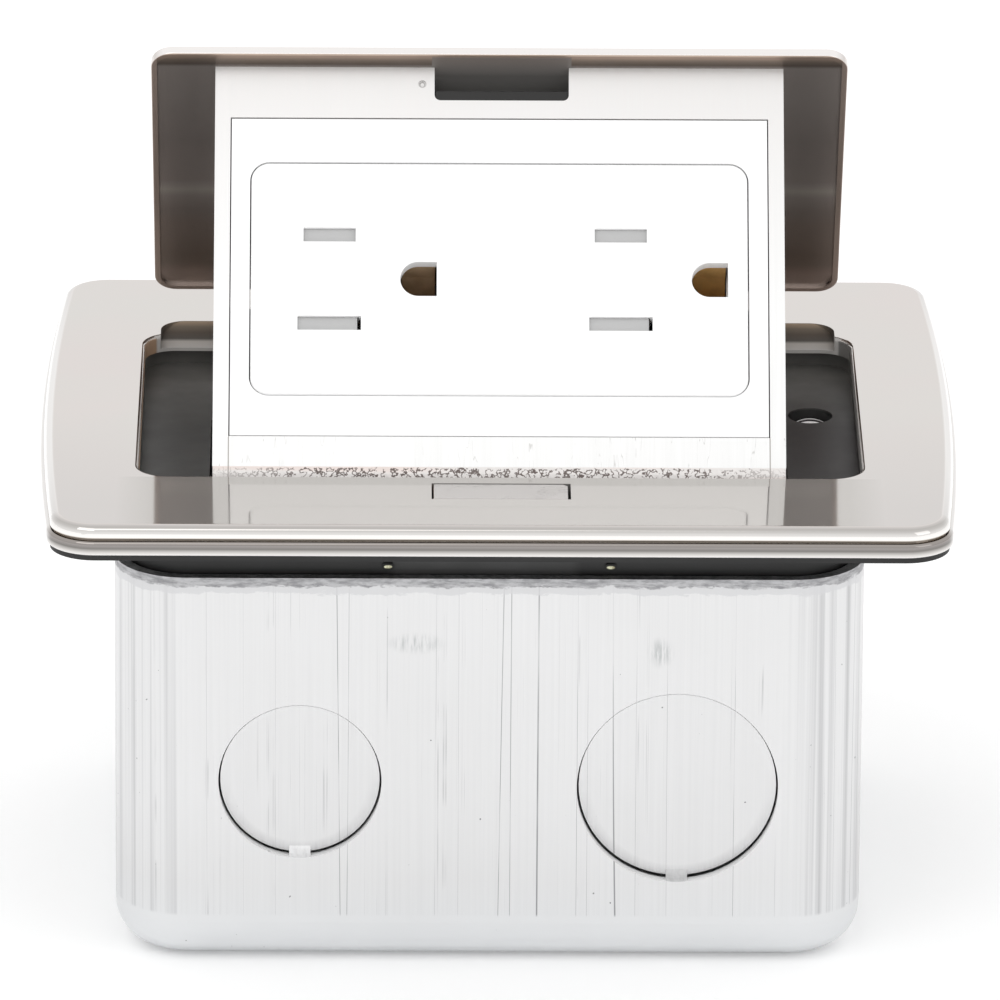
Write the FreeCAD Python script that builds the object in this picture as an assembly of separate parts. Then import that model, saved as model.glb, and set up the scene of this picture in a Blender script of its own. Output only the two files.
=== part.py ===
import FreeCAD
import Part
import math
import os

V = FreeCAD.Vector
X = V(1, 0, 0)
Y = V(0, 1, 0)
Z = V(0, 0, 1)

# ---- driving dimensions, mm; x right, y to the rear, z up from the plate's top face ----
BOX_W, BOX_D, BOX_H = 100.0, 82.5, 55.2      # drawn steel box, outside
BOX_X = -1.25                                # the box stands this far off the plate's centre
BOX_SHEET = 1.5
BOX_CORNER_R = 9.8
BOX_FOOT_R = 6.0
RIM_Z = -10.5                                # box rim below the plate's top
KO_SMALL = (-25.2, -28.95, 10.9)             # knockouts: x from the box centre, z from the rim, radius
KO_LARGE = (25.2, -29.7, 13.45)
KO_SLIT, KO_RISE, KO_TILT = 0.27, 0.18, 3.0  # slug's radial gap, lift and inward lean (degrees)
KO_TAB_W, KO_TAB_H = 2.85, 1.3               # bridge that holds the slug at its foot
FIX_HOLE_R, FIX_X, FIX_Y = 2.25, 30.0, 20.0  # four fixing holes in the box floor

PLATE_MID_W, PLATE_D, PLATE_T = 123.5, 101.3, 4.0
PLATE_SIDE_R = 588.0
PLATE_CORNER_R = 6.5
PLATE_SKIN = 2.4
BEAD_H, BEAD_INSET, BEAD_R = 1.75, 0.5, 1.3  # upper bead of the plate's edge
CREASE_H, CREASE_DEPTH = 0.3, 0.95
OPEN_X, OPEN_W = 0.15, 96.5                  # opening for the lid
OPEN_FRONT, OPEN_REAR, OPEN_R = -30.35, 26.25, 4.0
OPEN_ARRIS = 0.5
SCOOP_W, SCOOP_REAR, SCOOP_LIP, SCOOP_DROP, SCOOP_R = 92.4, 31.85, 25.35, 1.9, 9.5

GROUND_SCREW_X, GROUND_SCREW_Z = -30.0, -50.0
LUG_T, LUG_Z, LUG_HALF = 1.4, -11.3, 5.25    # box lug that the frame screw pulls down on
HOOK_Z, HOOK_W = -12.0, 10.0                 # box hook that holds the frame's other side
GASKET_T, GASKET_INSET = 0.8, 0.5
FLANGE_W, FLANGE_D, FLANGE_T = 111.0, 91.0, 2.4
TRAY_Z, TRAY_T, TRAY_REAR = -4.5, 1.6, 27.5
SLOT_W = 77.6                                # slot between the trays for the module
NECK_GAP, NECK_WALL, NECK_FOOT = 0.4, 1.5, -15.5
FRAME_SCREW = (42.5, 6.75)
SUNK_R, SCREW_DROP = 3.05, 0.65             # counterbore, and the screw's top below the tray
HEAD_H, DOME_H = 1.6, 1.05

HINGE_Y, HINGE_Z = 33.565, -12.675
SWING = 56.5                                 # closed to open, degrees
PIN_R, PIN_FIT, HUB_R = 1.5, 0.05, 4.2
PIN_IN, LUG_IN, LUG_OUT = 27.6, 38.9, 40.7
COIL_R, WIRE_R, COIL_TURNS, COIL_PITCH = 2.3, 0.4, 3.0, 1.7

LID_W, LID_L, LID_T, LID_R, LID_GAP = 94.0, 52.45, 1.35, 3.0, 0.4
LID_RIM_W, LID_RIM_H = 0.8, 0.4
STUD_R, STUD_L, NUT_T = 1.25, 4.1, 1.6       # weld studs and nuts that hold the lid
PANEL_SET, PANEL_LEAN, PANEL_L = 3.36, 16.1, 57.5
BRACKET_W, WEB_T, SIDE_T = 76.6, 2.65, 2.1
RELIEF_R, RELIEF_ROOT = 15.2, 198.0
NOTCH_X, NOTCH_W, NOTCH_H, NOTCH_R = 0.3, 18.1, 4.75, 0.8
CATCH_DROP = 0.45                            # the leaning catch's front arris stays under the bolt
PIP = (-10.4, 55.1, 0.5)                     # tooling pip in the web: x, height, radius
STOP_Y0, STOP_Y1, STOP_PAD_T = 16.0, 22.0, 0.7
SEAT_Y, SEAT_W, SEAT_T = 23.2, 2.8, 1.25     # where the hinge spring pushes on the bracket
INSERT_S, INSERT_HEAD, INSERT_T = 4.3, 7.35, 3.0
INSERT_H = PANEL_L - INSERT_S - INSERT_HEAD
FIT = 0.1                                    # gap round a piece seated in another
SEAM = 0.16                                  # shadow line round the insert and the receptacle
SNUG = 0.02                                  # gap round a screw in its thread

FACE_W, FACE_H, FACE_R, FACE_SKIN, FACE_WALL = 66.7, 33.3, 2.5, 1.9, 1.6
FACE_S = INSERT_S + INSERT_H / 2 - 0.28
OUTLETS = (-22.8, 16.3)
HOT_W, NEUTRAL_W, SLOT_H, SLOT_RISE = 7.0, 8.5, 2.0, 6.35
GROUND_X, GROUND_SIZE = 11.95, 4.9
BODY_W, BODY_H = FACE_W - 2 * FACE_WALL - 0.3, FACE_H - 2 * FACE_WALL - 0.7
BODY_FRONT, BODY_BACK, BODY_WALL = 4.2, 27.0, 1.0
SHUTTER_T, SHUTTER_D, SHUTTER_TRAVEL = 1.1, 0.7, 2.6
SHUTTER_BED, SHUTTER_HEAD = 0.6, 8.6         # face's skin over the shutters; their upper end
TERMINALS, TERMINAL_D, TAB_D = (-22.0, 17.0), 19.0, 14.0
GREEN_X, STRAP_D = 8.0, 32.0
GROUND_HALF = 2.2

PRESS = 3.0                                  # button travel, and the bolt's with it
BUTTON_FRONT, BUTTON_REAR, BUTTON_W, BUTTON_T = -39.05, -33.3, 17.9, 1.6
BUTTON_GAP, BUTTON_SIDE_GAP = 0.25, 0.35
BOLT_TIP, CRANK_Y, BOLT_T, TONGUE_T = -24.75, -30.15, 1.2, 1.0
TONGUE_W, BOLT_W, TONGUE_Z, BOLT_Z = 12.0, 10.4, -2.6, -4.9
RAMP_Y, RAMP_FIT = -35.3, 0.06               # where the button's stem wedges the bolt back
STEM_T, STEM_HALF, STEM_FOOT = 1.6, 3.0, -6.6
SPRING_X, SPRING_Y, SEAT_Z = 7.2, -36.2, -8.0
RIVET_X, RIVET_Z, RIVET_R = 14.8, -9.4, 0.4
RIVET_HEAD_R, RIVET_FLAT = 0.72, 0.45        # heads are pressed flat above and below
HOLDER_HALF, HOLDER_FRONT, HOLDER_REAR, HOLDER_LIP = 17.0, -37.75, -29.2, 1.0


# ---- small shapes ----
def block(x0, x1, y0, y1, z0, z1):
    return Part.makeBox(x1 - x0, y1 - y0, z1 - z0, V(x0, y0, z0))


def rod(r, start, axis, length):
    return Part.makeCylinder(r, length, V(*start), axis)


def slab(w, d, r, z0, z1, cx=0.0, cy=0.0):
    body = block(cx - w / 2, cx + w / 2, cy - d / 2, cy + d / 2, z0, z1)
    return body.makeFillet(r, edges_along(body, Z))


def edges_along(shape, axis):
    found = []
    for e in shape.Edges:
        if e.Curve.TypeId == "Part::GeomLine" and abs(e.Curve.Direction.dot(axis)) > 0.999:
            found.append(e)
    return found


def edges_at(shape, z):
    return [e for e in shape.Edges
            if abs(e.BoundBox.ZMin - z) < 1e-4 and abs(e.BoundBox.ZMax - z) < 1e-4]


def side_prism(points, x0, x1):
    wire = Part.makePolygon([V(x0, y, z) for y, z in points + points[:1]])
    return Part.Face(wire).extrude(V(x1 - x0, 0, 0))


def fused(shapes):
    return shapes[0].multiFuse(shapes[1:]).removeSplitter()


def mirrored(shape):
    return shape.mirror(V(0, 0, 0), X)


def pair(shape):
    return [shape, mirrored(shape)]


# ---- where module pieces go ----
def opened(shape):
    out = shape.copy()
    out.rotate(V(0, HINGE_Y, HINGE_Z), X, -SWING)
    return out


def lid_front():
    return OPEN_FRONT + LID_GAP


def panel_foot():
    lean = math.radians(PANEL_LEAN)
    top_y, top_z = lid_front() + PANEL_SET, -(LID_T - LID_RIM_H)
    return top_y + PANEL_L * math.sin(lean), top_z - PANEL_L * math.cos(lean)


def on_panel(shape):
    y, z = panel_foot()
    out = shape.copy()
    out.rotate(V(0, 0, 0), X, PANEL_LEAN)
    out.translate(V(0, y, z))
    return opened(out)


# ---- steel box ----
def box_shell():
    foot = RIM_Z - BOX_H
    outer = slab(BOX_W, BOX_D, BOX_CORNER_R, foot, RIM_Z, BOX_X)
    outer = outer.makeFillet(BOX_FOOT_R, edges_at(outer, foot))
    t = BOX_SHEET
    inner = slab(BOX_W - 2 * t, BOX_D - 2 * t, BOX_CORNER_R - t, foot + t, RIM_Z + 1, BOX_X)
    inner = inner.makeFillet(BOX_FOOT_R - t, edges_at(inner, foot + t))
    return outer.cut(inner)


def knockout(box, dx, dz, r):
    x, y, z = BOX_X + dx, -BOX_D / 2, RIM_Z + dz
    t, foot = BOX_SHEET, z - r
    hole = rod(r, (x, y - 1, z), Y, t + 2)
    slug = rod(r - KO_SLIT, (x, y, z + KO_RISE), Y, t)
    slug.rotate(V(x, y, z + KO_RISE + r - KO_SLIT), X, KO_TILT)
    sunk = (2 * r - KO_TAB_H) * math.sin(math.radians(KO_TILT))
    outline = [(y, foot - 0.4), (y, foot), (y + sunk, foot + KO_TAB_H),
               (y + sunk + t - 0.2, foot + KO_TAB_H), (y + t, foot), (y + t, foot - 0.4)]
    bridge = side_prism(outline, x - KO_TAB_W / 2, x + KO_TAB_W / 2)
    return fused([box.cut(hole), slug, bridge])


def steel_box():
    box = box_shell()
    for spec in (KO_SMALL, KO_LARGE):
        box = knockout(box, *spec)
    foot = RIM_Z - BOX_H
    for sx in (-1, 1):
        for sy in (-1, 1):
            at = (BOX_X + sx * FIX_X, sy * FIX_Y, foot - 1)
            box = box.cut(rod(FIX_HOLE_R, at, Z, BOX_SHEET + 2))
    return [box.cut(rod(2.0 + SNUG, (GROUND_SCREW_X, 30, GROUND_SCREW_Z), Y, 20))]


def box_lugs():
    x, y = FRAME_SCREW
    wall = BOX_X + BOX_W / 2 - BOX_SHEET
    lug = block(SLOT_W / 2 + 0.5, wall, y - LUG_HALF, y + LUG_HALF, LUG_Z - LUG_T, LUG_Z)
    tail = block(wall - LUG_T, wall, y - LUG_HALF, y + LUG_HALF, LUG_Z - 9, LUG_Z)
    lug = fused([lug, tail]).cut(rod(1.75 + SNUG, (x, y, LUG_Z - 5), Z, 10))
    left = BOX_X - BOX_W / 2 + BOX_SHEET
    hook = block(left, left + 3.4, y - HOOK_W / 2, y + HOOK_W / 2, HOOK_Z - LUG_T, HOOK_Z)
    weld = block(left, left + 0.3, y - HOOK_W / 2, y + HOOK_W / 2, HOOK_Z - 9, HOOK_Z)
    return [lug, fused([hook, weld])]


def ground_screw():
    y = BOX_D / 2 - BOX_SHEET
    head = hexagon(3.6, 2.2, (GROUND_SCREW_X, y - 2.2, GROUND_SCREW_Z))
    slot = block(GROUND_SCREW_X - 4, GROUND_SCREW_X + 4, y - 2.3, y - 1.3,
                 GROUND_SCREW_Z - 0.5, GROUND_SCREW_Z + 0.5)
    shank = rod(2.0, (GROUND_SCREW_X, y - 0.5, GROUND_SCREW_Z), Y, BOX_SHEET + 0.5)
    return [fused([head, shank]).cut(slot)]


def hexagon(r, length, start):
    x, y, z = start
    pts = [V(x + r * math.cos(math.radians(a)), y, z + r * math.sin(math.radians(a)))
           for a in range(0, 361, 60)]
    return Part.Face(Part.makePolygon(pts)).extrude(V(0, length, 0))


# ---- cover plate ----
def plate_prism(inset, z0, z1):
    half_w, half_d = PLATE_MID_W / 2 - inset, PLATE_D / 2 - inset
    body = block(-half_w, half_w, -half_d, half_d, z0, z1)
    for side in (-1, 1):
        body = body.common(rod(PLATE_SIDE_R, (side * (half_w - PLATE_SIDE_R), 0, z0), Z, z1 - z0))
    return body.makeFillet(PLATE_CORNER_R - inset, edges_along(body, Z))


def plate_opening(z0, z1):
    middle = (OPEN_REAR + OPEN_FRONT) / 2
    return slab(OPEN_W, OPEN_REAR - OPEN_FRONT, OPEN_R, z0, z1, OPEN_X, middle)


def scoop():
    dy, dz = SCOOP_REAR - SCOOP_LIP, SCOOP_DROP
    half = math.hypot(dy, dz) / 2
    rise = math.sqrt(SCOOP_R ** 2 - half ** 2)
    lean = math.atan2(dz, dy)
    y = (SCOOP_REAR + SCOOP_LIP) / 2 - rise * math.sin(lean)
    z = -dz / 2 + rise * math.cos(lean)
    drum = rod(SCOOP_R, (OPEN_X - SCOOP_W / 2, y, z), X, SCOOP_W)
    well = slab(SCOOP_W, 20, 3.5, -5, 1, OPEN_X, SCOOP_REAR - 10)
    return drum.common(well)


def plate_screw_spots():
    return [(x, y) for x in (-51.8, 51.8) for y in (-37.0, 37.0)]


def cover_plate():
    crease = -BEAD_H
    bead = plate_prism(BEAD_INSET, crease, 0)
    bead = bead.makeFillet(BEAD_R, edges_at(bead, 0))
    waist = plate_prism(CREASE_DEPTH, crease - CREASE_H - 0.01, crease + 0.01)
    base = plate_prism(0, -PLATE_T, crease - CREASE_H)
    base = base.makeFillet(0.55, edges_at(base, crease - CREASE_H))
    base = base.makeFillet(0.3, edges_at(base, -PLATE_T))
    plate = fused([bead, waist, base])
    plate = plate.cut(slab(FLANGE_W + 0.4, FLANGE_D + 0.4, 6.2, -PLATE_T - 1, -PLATE_SKIN))
    plate = plate.cut(plate_opening(-PLATE_T - 1, 1))
    plate = plate.makeFillet(OPEN_ARRIS, [e for e in edges_at(plate, 0) if inside_opening(e)])
    plate = plate.cut(scoop())
    plate = plate.cut(button_window(-PLATE_T - 1, 1))
    for x, y in plate_screw_spots():
        plate = plate.cut(rod(1.5 + SNUG, (x, y, -6), Z, 4.9))
    return [plate]


def inside_opening(edge):
    b = edge.BoundBox
    return abs(b.XMax - OPEN_X) < OPEN_W / 2 + 0.1 and abs(b.XMin - OPEN_X) < OPEN_W / 2 + 0.1


def button_window(z0, z1):
    x0 = OPEN_X - BUTTON_W / 2 - BUTTON_GAP
    x1 = OPEN_X + BUTTON_W / 2 + BUTTON_SIDE_GAP
    return block(x0, x1, BUTTON_FRONT - 0.06, BUTTON_REAR + BUTTON_GAP, z0, z1)


def gasket():
    z = -PLATE_T
    ring = plate_prism(GASKET_INSET, z - GASKET_T, z)
    return [ring.cut(slab(FLANGE_W + 0.4, FLANGE_D + 0.4, 6.2, z - GASKET_T - 1, z + 1))]


# ---- mechanism frame ----
def frame_flange():
    top = -PLATE_SKIN
    flange = slab(FLANGE_W, FLANGE_D, 6.0, top - FLANGE_T, top)
    well = slab(OPEN_W, TRAY_REAR - OPEN_FRONT, OPEN_R, top - 5, top + 1,
                OPEN_X, (TRAY_REAR + OPEN_FRONT) / 2)
    return flange.cut(well)


def frame_trays():
    tray = slab(OPEN_W + 3, TRAY_REAR - OPEN_FRONT + 3, OPEN_R + 1.5, TRAY_Z - TRAY_T, TRAY_Z,
                OPEN_X, (TRAY_REAR + OPEN_FRONT) / 2)
    return tray.cut(block(-SLOT_W / 2, SLOT_W / 2, OPEN_FRONT, 60, -10, 0))


def frame_neck():
    t = BOX_SHEET + NECK_GAP
    top = -PLATE_SKIN - FLANGE_T
    outer = slab(BOX_W - 2 * t, BOX_D - 2 * t, BOX_CORNER_R - t, NECK_FOOT, top, BOX_X)
    t += NECK_WALL
    inner = slab(BOX_W - 2 * t, BOX_D - 2 * t, BOX_CORNER_R - t, NECK_FOOT - 1, top + 1, BOX_X)
    return outer.cut(inner).cut(block(-43, 43, 30, 50, NECK_FOOT - 1, TRAY_Z - TRAY_T + 0.1))


def hinge_lug():
    top = -PLATE_SKIN - FLANGE_T
    plate = block(LUG_IN, LUG_OUT, HINGE_Y - HUB_R, HINGE_Y + HUB_R, HINGE_Z, top)
    return fused([plate, rod(HUB_R, (LUG_IN, HINGE_Y, HINGE_Z), X, LUG_OUT - LUG_IN)])


def mech_frame():
    x, y = FRAME_SCREW
    seat = TRAY_Z - SCREW_DROP - HEAD_H
    boss = rod(SUNK_R + 0.5, (x, y, LUG_Z + 0.1), Z, TRAY_Z - 0.5 - LUG_Z)
    frame = fused([frame_flange(), frame_trays(), frame_neck(), boss] + pair(hinge_lug()))
    cuts = [rod(SUNK_R, (x, y, seat), Z, 12), rod(1.9, (x, y, -20), Z, 20)]
    cuts += [rod(PIN_R + SNUG, (-50, HINGE_Y, HINGE_Z), X, 100)]
    cuts += [block(40, 50, y - 5.6, y + 5.6, LUG_Z - 9.5, LUG_Z + 0.1)]
    cuts += [block(-50, -44, y - HOOK_W / 2 - 0.3, y + HOOK_W / 2 + 0.3, HOOK_Z - LUG_T - 0.1, HOOK_Z + 0.1)]
    cuts += [button_window(-10, 0).cut(block(-20, 20, -60, 0, -30, BOLT_Z - BOLT_T - 0.1))]
    cuts += [block(-BOLT_W / 2 - 0.2, BOLT_W / 2 + 0.2, -42, OPEN_FRONT + 1, -6.25, BOLT_Z + 0.1)]
    cuts += [block(-TONGUE_W / 2 - 0.3, TONGUE_W / 2 + 0.3, CRANK_Y - PRESS - 0.25, OPEN_FRONT + 2, -7, 0)]
    cuts += [rod(RIVET_R + SNUG, (sx * RIVET_X, -45, RIVET_Z), Y, 12) for sx in (-1, 1)]
    for sx, sy in plate_screw_spots():
        cuts.append(rod(1.65, (sx, sy, -9), Z, 8))
        cuts.append(rod(2.9, (sx, sy, -9), Z, 9 - PLATE_SKIN - FLANGE_T))
    for cut in cuts:
        frame = frame.cut(cut)
    return [frame]


def plate_screws():
    z = -PLATE_SKIN - FLANGE_T
    out = []
    for x, y in plate_screw_spots():
        head = rod(2.6, (x, y, z - 1.5), Z, 1.5)
        shank = rod(1.5, (x, y, z - 0.5), Z, 4.0)
        drive = block(x - 1.9, x + 1.9, y - 0.4, y + 0.4, z - 1.6, z - 0.8)
        out.append(fused([head, shank]).cut(drive))
    return out


def frame_screw():
    x, y = FRAME_SCREW
    seat, r = TRAY_Z - SCREW_DROP - HEAD_H, SUNK_R - 0.3
    dome_r = (r ** 2 + DOME_H ** 2) / (2 * DOME_H)
    dome = Part.makeSphere(dome_r, V(x, y, seat + HEAD_H - dome_r))
    head = dome.common(rod(r, (x, y, seat), Z, HEAD_H + 1))
    shank = rod(1.75, (x, y, LUG_Z - 7), Z, seat + 0.2 - LUG_Z + 7)
    drive = block(x - 1.8, x + 1.8, y - 0.4, y + 0.4, seat + 0.6, seat + 4)
    return [fused([head, shank]).cut(drive)]


# ---- hinge hardware ----
def hinge_pins():
    shaft = rod(PIN_R, (PIN_IN, HINGE_Y, HINGE_Z), X, LUG_OUT - PIN_IN)
    head = rod(2.7, (LUG_OUT, HINGE_Y, HINGE_Z), X, 1.0)
    groove = rod(3, (PIN_IN + 0.7, HINGE_Y, HINGE_Z), X, 0.6)
    groove = groove.cut(rod(1.15, (PIN_IN, HINGE_Y, HINGE_Z), X, 3))
    return pair(fused([shaft, head]).cut(groove))


def pin_clips():
    ring = rod(2.9, (PIN_IN + 0.75, HINGE_Y, HINGE_Z), X, 0.5)
    ring = ring.cut(rod(1.15 + SNUG, (PIN_IN, HINGE_Y, HINGE_Z), X, 3))
    gap = block(PIN_IN, PIN_IN + 3, HINGE_Y - 0.9, HINGE_Y + 0.9, HINGE_Z - 4, HINGE_Z)
    return pair(ring.cut(gap))


# ---- module: lid and bracket (drawn closed, handed on open) ----
def lid():
    cy = lid_front() + LID_L / 2
    plate = slab(LID_W, LID_L, LID_R, -LID_T, 0, 0, cy)
    plate = plate.makeFillet(0.35, edges_at(plate, 0))
    plate = plate.makeFillet(0.15, edges_at(plate, -LID_T))
    pocket = slab(LID_W - 2 * LID_RIM_W, LID_L - 2 * LID_RIM_W, LID_R - LID_RIM_W,
                  -LID_T - 1, -LID_T + LID_RIM_H, 0, cy)
    under = -(LID_T - LID_RIM_H)
    studs = [rod(STUD_R, (x, y, under - STUD_L), Z, STUD_L + 0.1) for x, y in lid_stud_spots()]
    return [opened(fused([plate.cut(pocket)] + studs))]


def lid_stud_spots():
    return [(x, y) for x in (-32.0, 32.0) for y in (-14.0, 12.0)]


def lid_nuts():
    z = -(LID_T - LID_RIM_H) - SIDE_T - NUT_T
    out = []
    for x, y in lid_stud_spots():
        nut = hexagon(2.6, NUT_T, (0, 0, 0))
        nut.rotate(V(0, 0, 0), X, 90)
        nut.translate(V(x, y, z))
        out.append(opened(nut.cut(rod(STUD_R + SNUG, (x, y, z - 1), Z, 4))))
    return out


def cheek(x0, x1):
    fy, fz = panel_foot()
    lean = math.radians(PANEL_LEAN)
    top = -(LID_T - LID_RIM_H)
    rear_top = HINGE_Y - math.sqrt(RELIEF_R ** 2 - (top - HINGE_Z) ** 2)
    back = (fy + WEB_T * math.cos(lean), fz + WEB_T * math.sin(lean))
    run = math.hypot(HINGE_Y - back[0], HINGE_Z - back[1])
    aim = math.atan2(HINGE_Z - back[1], HINGE_Y - back[0]) - math.asin(HUB_R / run)
    reach = math.sqrt(run ** 2 - HUB_R ** 2)
    tangent = (back[0] + reach * math.cos(aim), back[1] + reach * math.sin(aim))
    outline = [(lid_front() + PANEL_SET, top), (rear_top, top), (HINGE_Y, HINGE_Z), tangent,
               back, (fy, fz)]
    wedge = side_prism(outline, x0, x1)
    disc = rod(RELIEF_R, (x0 - 1, HINGE_Y, HINGE_Z), X, x1 - x0 + 2)
    a, b = math.radians(100), math.radians(RELIEF_ROOT)
    far = 60
    sector = side_prism([(HINGE_Y, HINGE_Z), (HINGE_Y + far * math.cos(a), HINGE_Z + far * math.sin(a)),
                         (HINGE_Y - far, HINGE_Z + far),
                         (HINGE_Y + far * math.cos(b), HINGE_Z + far * math.sin(b))], x0 - 1, x1 + 1)
    wedge = wedge.cut(disc.common(sector))
    return fused([wedge, rod(HUB_R, (x0, HINGE_Y, HINGE_Z), X, x1 - x0)])


def bracket_web():
    half = BRACKET_W / 2
    web = block(-half, half, 0, WEB_T, 0, PANEL_L + 1)
    window = block(-half + SIDE_T, half - SIDE_T, -1, WEB_T + 1, INSERT_S, INSERT_S + INSERT_H)
    foot = PANEL_L - NOTCH_H
    notch = block(NOTCH_X - NOTCH_W / 2, NOTCH_X + NOTCH_W / 2, -1, WEB_T + 1, foot, PANEL_L + 3)
    corners = [e for e in edges_along(notch, Y) if e.BoundBox.ZMax < foot + 0.01]
    pip = rod(PIP[2], (PIP[0], -0.1, PIP[1]), Y, 0.45)
    return web.cut(window).cut(notch.makeFillet(NOTCH_R, corners)).cut(pip)


def bracket_flange(x0, x1):
    top = -(LID_T - LID_RIM_H)
    return opened(block(x0, x1, lid_front() + PANEL_SET + 1.5, 18.0, top - SIDE_T, top))


def bracket_tabs():
    half = BRACKET_W / 2
    under = TRAY_Z - TRAY_T - STOP_PAD_T - 0.05
    stop = block(half - 0.1, half + 3.0, STOP_Y0 + 0.3, STOP_Y1 - 0.3, under - 2.0, under)
    seat_z = HINGE_Z - COIL_R + WIRE_R + 0.05
    seat = block(PIN_IN + 1.4, half - SIDE_T + 0.1, SEAT_Y, SEAT_Y + SEAT_W, seat_z, seat_z + SEAT_T)
    return [stop, seat]


def strap_screw_spots():
    return [(STRAP_D, FACE_S - 3.2), (STRAP_D, FACE_S + 3.2)]


def strap_screws():
    half = BRACKET_W / 2
    out = []
    for d, s in strap_screw_spots():
        head = Part.makeCone(1.25, 2.45, 1.2, V(half - 1.25, d, s), X)
        shank = rod(1.25, (half - 4.4, d, s), X, 3.3)
        drive = block(half - 0.6, half, d - 1.6, d + 1.6, s - 0.35, s + 0.35)
        out += pair(fused([head, shank]).cut(drive))
    return [on_panel(s) for s in out]


def bracket():
    half = BRACKET_W / 2
    parts = [on_panel(bracket_web())]
    parts += [opened(c) for c in pair(cheek(half - SIDE_T, half))]
    parts += pair(bracket_flange(26.0, half - SIDE_T + 0.1))
    for tab in bracket_tabs():
        parts += pair(tab)
    body = fused(parts)
    body = body.cut(opened(block(-60, 60, -60, 60, -(LID_T - LID_RIM_H), 20)))
    body = body.cut(opened(block(-60, 60, lid_front() + LID_L - LID_RIM_W - FIT, 60, -LID_T - 0.1, 20)))
    body = body.cut(rod(PIN_R + PIN_FIT, (-60, HINGE_Y, HINGE_Z), X, 120))
    for x, y in lid_stud_spots():
        body = body.cut(opened(rod(1.4, (x, y, -10), Z, 10)))
    for d, s in strap_screw_spots():
        bore = fused([rod(1.35, (half - 3, d, s), X, 4),
                      Part.makeCone(1.3, 2.55, 1.25, V(half - 1.25, d, s), X)])
        for cut in pair(bore):
            body = body.cut(on_panel(cut))
    return [body]


def catch_block():
    foot = PANEL_L - NOTCH_H
    under_tongue = TONGUE_Z - TONGUE_T - 0.1 + (LID_T - LID_RIM_H)
    head = PANEL_L + under_tongue / math.cos(math.radians(PANEL_LEAN)) - CATCH_DROP
    front = block(NOTCH_X - 8.9, NOTCH_X + 8.9, 0.35, WEB_T + 0.1, foot + 0.05, head)
    corners = [e for e in edges_along(front, Y) if e.BoundBox.ZMax < foot + 0.1]
    front = front.makeFillet(NOTCH_R, corners)
    back = block(NOTCH_X - 10.5, NOTCH_X + 10.5, WEB_T + 0.05, WEB_T + 1.1, foot - 0.9, head)
    return [on_panel(fused([front, back]))]


# ---- module: receptacle ----
def insert_panel():
    half = BRACKET_W / 2 - SIDE_T - SEAM
    s0, s1 = INSERT_S + SEAM, INSERT_S + INSERT_H - SEAM
    front = block(-half, half, FIT, INSERT_T, s0, s1)
    back = block(-half, half, WEB_T + 0.05, WEB_T + 1.5, s0 - 2.2, s1 + 1.5)
    hole = face_prism(FACE_W + 2 * SEAM, FACE_H + 2 * SEAM, FACE_R + SEAM, -1, WEB_T + 3)
    return [on_panel(fused([front, back]).cut(hole))]


def face_prism(w, h, r, d0, d1):
    body = block(-w / 2, w / 2, d0, d1, FACE_S - h / 2, FACE_S + h / 2)
    return body.makeFillet(r, edges_along(body, Y))


def slot_cut(x, s, w, h, d0, d1):
    return block(x - w / 2, x + w / 2, d0, d1, s - h / 2, s + h / 2)


def ground_cut(x, size, d0, d1):
    r = size / 2
    flat = block(x, x + r, d0, d1, FACE_S - r, FACE_S + r)
    return fused([flat, rod(r, (x, d0, FACE_S), Y, d1 - d0)])


def receptacle_face():
    front = FIT
    face = face_prism(FACE_W, FACE_H, FACE_R, front, 9.0)
    rim = [e for e in face.Edges if e.BoundBox.YMax < front + 1e-4]
    face = face.makeFillet(0.25, rim)
    face = face.cut(face_prism(FACE_W - 2 * FACE_WALL, FACE_H - 2 * FACE_WALL, FACE_R - 1, FACE_SKIN, 10))
    for x in OUTLETS:
        face = face.cut(slot_cut(x, FACE_S + SLOT_RISE, HOT_W, SLOT_H, -1, 3))
        face = face.cut(slot_cut(x, FACE_S - SLOT_RISE, NEUTRAL_W, SLOT_H, -1, 3))
        face = face.cut(ground_cut(x + GROUND_X, GROUND_SIZE, -1, 3))
        face = face.cut(block(x - 5.1, x + 3.95, SHUTTER_BED, 3, FACE_S - 10.5, FACE_S + 11.4))
    return [on_panel(face)]


def shutter(x):
    foot, head = FACE_S - 10.3, FACE_S + SHUTTER_HEAD
    plate = block(x - 4.9, x + 3.75, SHUTTER_D, SHUTTER_D + SHUTTER_T, foot, head)
    for s, w in ((SLOT_RISE, HOT_W - 0.1), (-SLOT_RISE, NEUTRAL_W - 1.1)):
        middle = FACE_S + s - SHUTTER_TRAVEL
        plate = plate.cut(slot_cut(x, middle, w, SLOT_H + 0.2, 0, 5))
    tab = block(x - 1.8, x + 0.8, SHUTTER_D + SHUTTER_T - 0.1, 4.0, head - 0.9, head)
    return [on_panel(fused([plate, tab]))]


def shutter_springs():
    gap = FACE_H / 2 - FACE_WALL - SHUTTER_HEAD
    out = []
    for x in OUTLETS:
        spring = coil_spring(0.75, 0.2, gap - 0.1, 3)
        spring.translate(V(x - 0.5, 3.1, FACE_S + SHUTTER_HEAD + 0.05))
        out.append(on_panel(spring))
    return out


def coil(r, wire, pitch, turns):
    path = Part.Wire(Part.makeHelix(pitch, pitch * turns, r))
    section = [V(r + wire * math.cos(a * math.pi / 4), 0, wire * math.sin(a * math.pi / 4))
               for a in range(9)]
    return path.makePipeShell([Part.makePolygon(section)], True, True)


def coil_spring(r, wire, length, turns):
    spring = coil(r, wire, (length - 2 * wire) / turns, turns)
    spring.translate(V(0, 0, wire))
    return spring


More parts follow.
